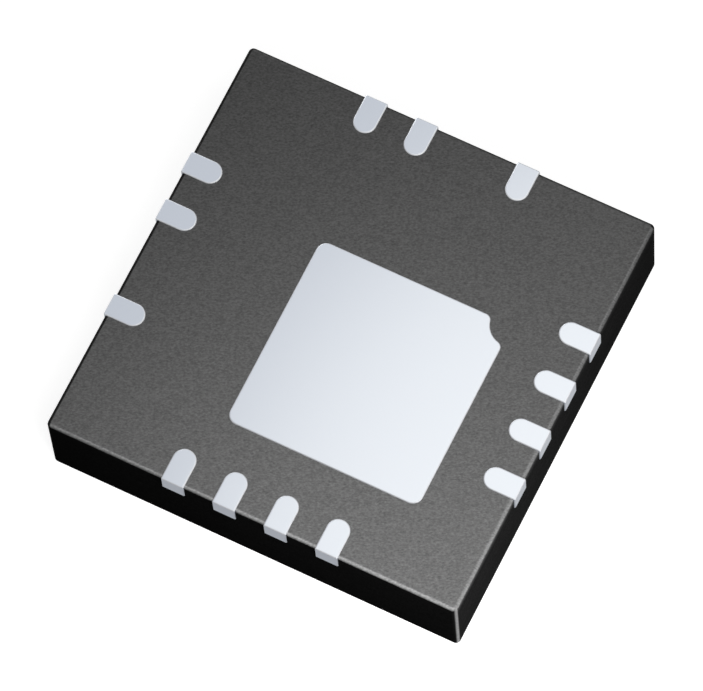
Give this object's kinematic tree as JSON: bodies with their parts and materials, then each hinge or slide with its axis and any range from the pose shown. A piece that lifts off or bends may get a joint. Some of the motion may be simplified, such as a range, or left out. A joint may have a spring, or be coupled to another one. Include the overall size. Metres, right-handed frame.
{
  "type": "gate driver chip",
  "caption": "Square leadless chip package lying on its back: solder lands round the edge, off-centre exposed pad, die and bond wires inside the moulding.",
  "frame": {"origin": "middle of the marking face, on which the part lies", "axes": "+Z out of the solder lands, +X out of the side with leads 1 to 4, +Y out of the side with leads 12 to 14"},
  "size_m": [0.004, 0.004, 0.0009],
  "materials": {
    "mould_compound": "fine-grained matt black epoxy mould compound",
    "tin_plate": "satin matt tin plate on copper alloy",
    "silicon": "polished silicon",
    "die_epoxy": "silver-filled epoxy",
    "bond_metal": "bright drawn copper wire"
  },
  "bodies": {
    "root": {"mould_body": "mould_compound", "die_pad": "tin_plate", "silicon_die": "silicon", "die_attach": "die_epoxy", "lead_01": "tin_plate", "lead_02": "tin_plate", "lead_03": "tin_plate", "lead_04": "tin_plate", "lead_05": "tin_plate", "lead_06": "tin_plate", "lead_07": "tin_plate", "lead_08": "tin_plate", "lead_09": "tin_plate", "lead_10": "tin_plate", "lead_11": "tin_plate", "lead_12": "tin_plate", "lead_13": "tin_plate", "lead_14": "tin_plate", "bond_wire_01": "bond_metal", "bond_wire_02": "bond_metal", "bond_wire_03": "bond_metal", "bond_wire_04": "bond_metal", "bond_wire_05": "bond_metal", "bond_wire_06": "bond_metal", "bond_wire_07": "bond_metal", "bond_wire_08": "bond_metal", "bond_wire_09": "bond_metal", "bond_wire_10": "bond_metal", "bond_wire_11": "bond_metal", "bond_wire_12": "bond_metal", "bond_wire_13": "bond_metal", "bond_wire_14": "bond_metal"}
  },
  "joints": []
}
